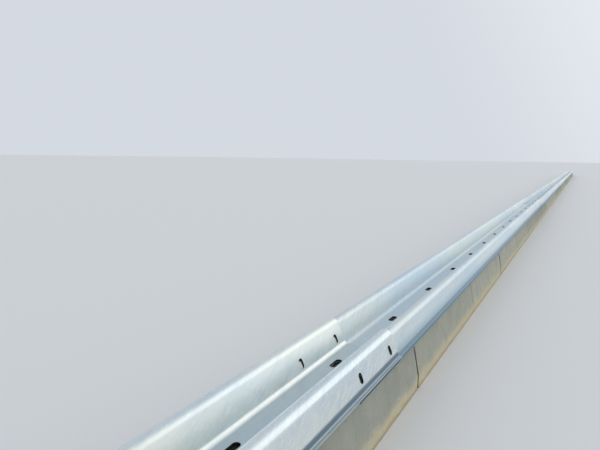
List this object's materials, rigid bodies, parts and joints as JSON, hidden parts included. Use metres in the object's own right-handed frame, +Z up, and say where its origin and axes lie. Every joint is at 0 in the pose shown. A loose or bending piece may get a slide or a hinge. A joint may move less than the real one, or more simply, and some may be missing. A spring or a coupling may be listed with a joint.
{
  "type": "highway guardrail rail row on kerb",
  "caption": "Row of W-section galvanised guardrail beams lapped end to end, lying traffic face up on a battered concrete kerb, slotted for post and splice bolts.",
  "frame": {"origin": "middle of the row, under the rails' centre line, at the foot of the kerb", "axes": "+X along the road in the direction in which each rail's end lies on the next, +Y away from the carriageway, +Z up"},
  "size_m": [36.3201, 0.312, 0.2968],
  "materials": {
    "galvanised_steel": "hot-dip galvanised, pale and satin",
    "concrete": "cast concrete, matt, ochre dust at the foot"
  },
  "bodies": {
    "root": {"rail_1": "galvanised_steel", "rail_2": "galvanised_steel", "rail_3": "galvanised_steel", "rail_4": "galvanised_steel", "rail_5": "galvanised_steel", "rail_6": "galvanised_steel", "kerb_stone_1": "concrete", "kerb_stone_2": "concrete", "kerb_stone_3": "concrete", "kerb_stone_4": "concrete", "kerb_stone_5": "concrete", "kerb_stone_6": "concrete", "kerb_stone_7": "concrete", "kerb_stone_8": "concrete", "kerb_stone_9": "concrete", "kerb_stone_10": "concrete", "kerb_stone_11": "concrete", "kerb_stone_12": "concrete", "kerb_stone_13": "concrete", "kerb_stone_14": "concrete", "kerb_stone_15": "concrete", "kerb_stone_16": "concrete", "kerb_stone_17": "concrete", "kerb_stone_18": "concrete", "kerb_stone_19": "concrete", "kerb_stone_20": "concrete", "kerb_stone_21": "concrete", "kerb_stone_22": "concrete", "kerb_stone_23": "concrete", "kerb_stone_24": "concrete", "kerb_stone_25": "concrete", "kerb_stone_26": "concrete", "kerb_stone_27": "concrete", "kerb_stone_28": "concrete", "kerb_stone_29": "concrete", "kerb_stone_30": "concrete", "kerb_stone_31": "concrete", "kerb_stone_32": "concrete", "kerb_stone_33": "concrete", "kerb_stone_34": "concrete", "kerb_stone_35": "concrete", "kerb_stone_36": "concrete", "kerb_stone_37": "concrete"}
  },
  "joints": []
}
